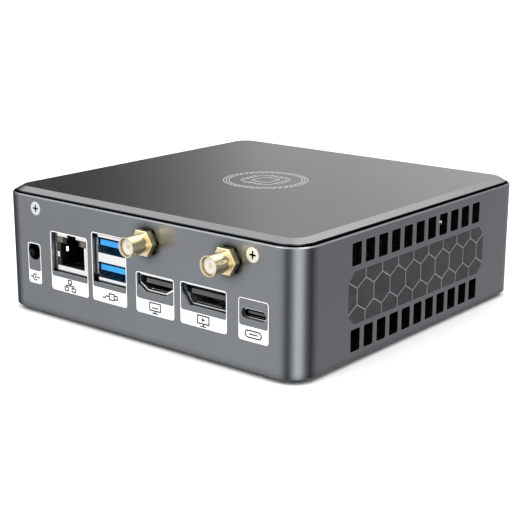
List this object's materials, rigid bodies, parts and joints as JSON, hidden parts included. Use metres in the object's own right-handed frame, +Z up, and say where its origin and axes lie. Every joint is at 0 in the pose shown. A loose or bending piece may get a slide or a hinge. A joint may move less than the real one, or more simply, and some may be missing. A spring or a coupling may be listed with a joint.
{
  "type": "mini pc",
  "caption": "Small square desktop computer with an aluminium case, vented sides, a panel of sockets, two antenna connectors, a fan and a power button.",
  "frame": {"origin": "centre of the base cover's underside, in the middle of the four mounting holes; the rubber feet reach 1.5 mm below it", "axes": "+Z up, -Y towards the connector panel, +Y towards the front with the power button, +X to the right as seen when looking at the connector panel"},
  "size_m": [0.128, 0.1378, 0.0431],
  "materials": {
    "anodised_case": "fine satin anodised, blue-grey",
    "anodised_lid": "fine satin anodised, dark grey",
    "dark_inlay": "matte dark grey",
    "black_rubber": "matte",
    "bright_screws": "nickel plated",
    "black_screws": "black oxide",
    "board_laminate": "green solder mask",
    "chip_package": "matte moulded",
    "bare_aluminium": "extruded",
    "nickel_plate": "bright plated sheet",
    "black_plastic": "fine matte",
    "blue_plastic": "semi-gloss blue",
    "gold_plate": "gold plated",
    "white_insulator": "off-white",
    "lamp_lens": "tinted lens",
    "clear_plastic": "clear moulded",
    "lead_jacket": "smooth jacket"
  },
  "bodies": {
    "case": {"antenna_barrels": "gold_plate", "antenna_contacts": "gold_plate", "antenna_insulators": "white_insulator", "antenna_nuts": "gold_plate", "antenna_pigtails": "lead_jacket", "antenna_washers": "gold_plate", "audio_jack": "black_plastic", "base_screws": "black_screws", "board_screws": "bright_screws", "board_standoffs": "nickel_plate", "body_frame": "anodised_case", "bottom_cover": "anodised_case", "can_capacitors": "bare_aluminium", "card_screws": "bright_screws", "cell_holder": "black_plastic", "clock_cell": "nickel_plate", "dc_jack_body": "black_plastic", "dc_jack_pin": "nickel_plate", "dc_jack_spring": "nickel_plate", "drive_socket": "black_plastic", "fan_frame": "black_plastic", "fan_header": "white_insulator", "fan_lead": "lead_jacket", "fan_screws": "black_screws", "front_usb_shells": "nickel_plate", "front_usb_tongues": "blue_plastic", "heat_sink": "bare_aluminium", "lan_jack_contacts": "gold_plate", "lan_jack_insert": "black_plastic", "lan_jack_lamps": "lamp_lens", "lan_jack_shield": "nickel_plate", "light_pipe": "clear_plastic", "memory_module": "board_laminate", "memory_socket": "black_plastic", "motherboard": "board_laminate", "panel_screws": "bright_screws", "pigtail_plugs": "gold_plate", "power_chokes": "chip_package", "power_lamp": "lamp_lens", "power_switch_body": "black_plastic", "processor": "chip_package", "rubber_feet": "black_rubber", "side_inlays": "dark_inlay", "sink_screws": "black_screws", "solid_state_drive": "board_laminate", "top_cover": "anodised_lid", "usb_c_shell": "nickel_plate", "usb_c_tongue": "black_plastic", "usb_stack_contacts": "gold_plate", "usb_stack_shell": "nickel_plate", "usb_stack_tongues": "blue_plastic", "video_a_shell": "nickel_plate", "video_a_tongue": "black_plastic", "video_b_shell": "nickel_plate", "video_b_tongue": "black_plastic", "wireless_card": "board_laminate", "wireless_socket": "black_plastic"},
    "power_button": {"power_button": "anodised_case", "power_switch_plunger": "black_plastic"},
    "fan_rotor": {"fan_rotor": "black_plastic"}
  },
  "joints": [
    {"name": "power_button_press", "type": "slide", "parent": "case", "child": "power_button", "axis": [0, -1, 0], "range_m": [0, 0.0004], "stiffness_N_per_m": 2500},
    {"name": "fan_spin", "type": "hinge", "parent": "case", "child": "fan_rotor", "pos_m": [0, 0.012, 0.03], "axis": [0, 0, 1], "continuous": true}
  ]
}
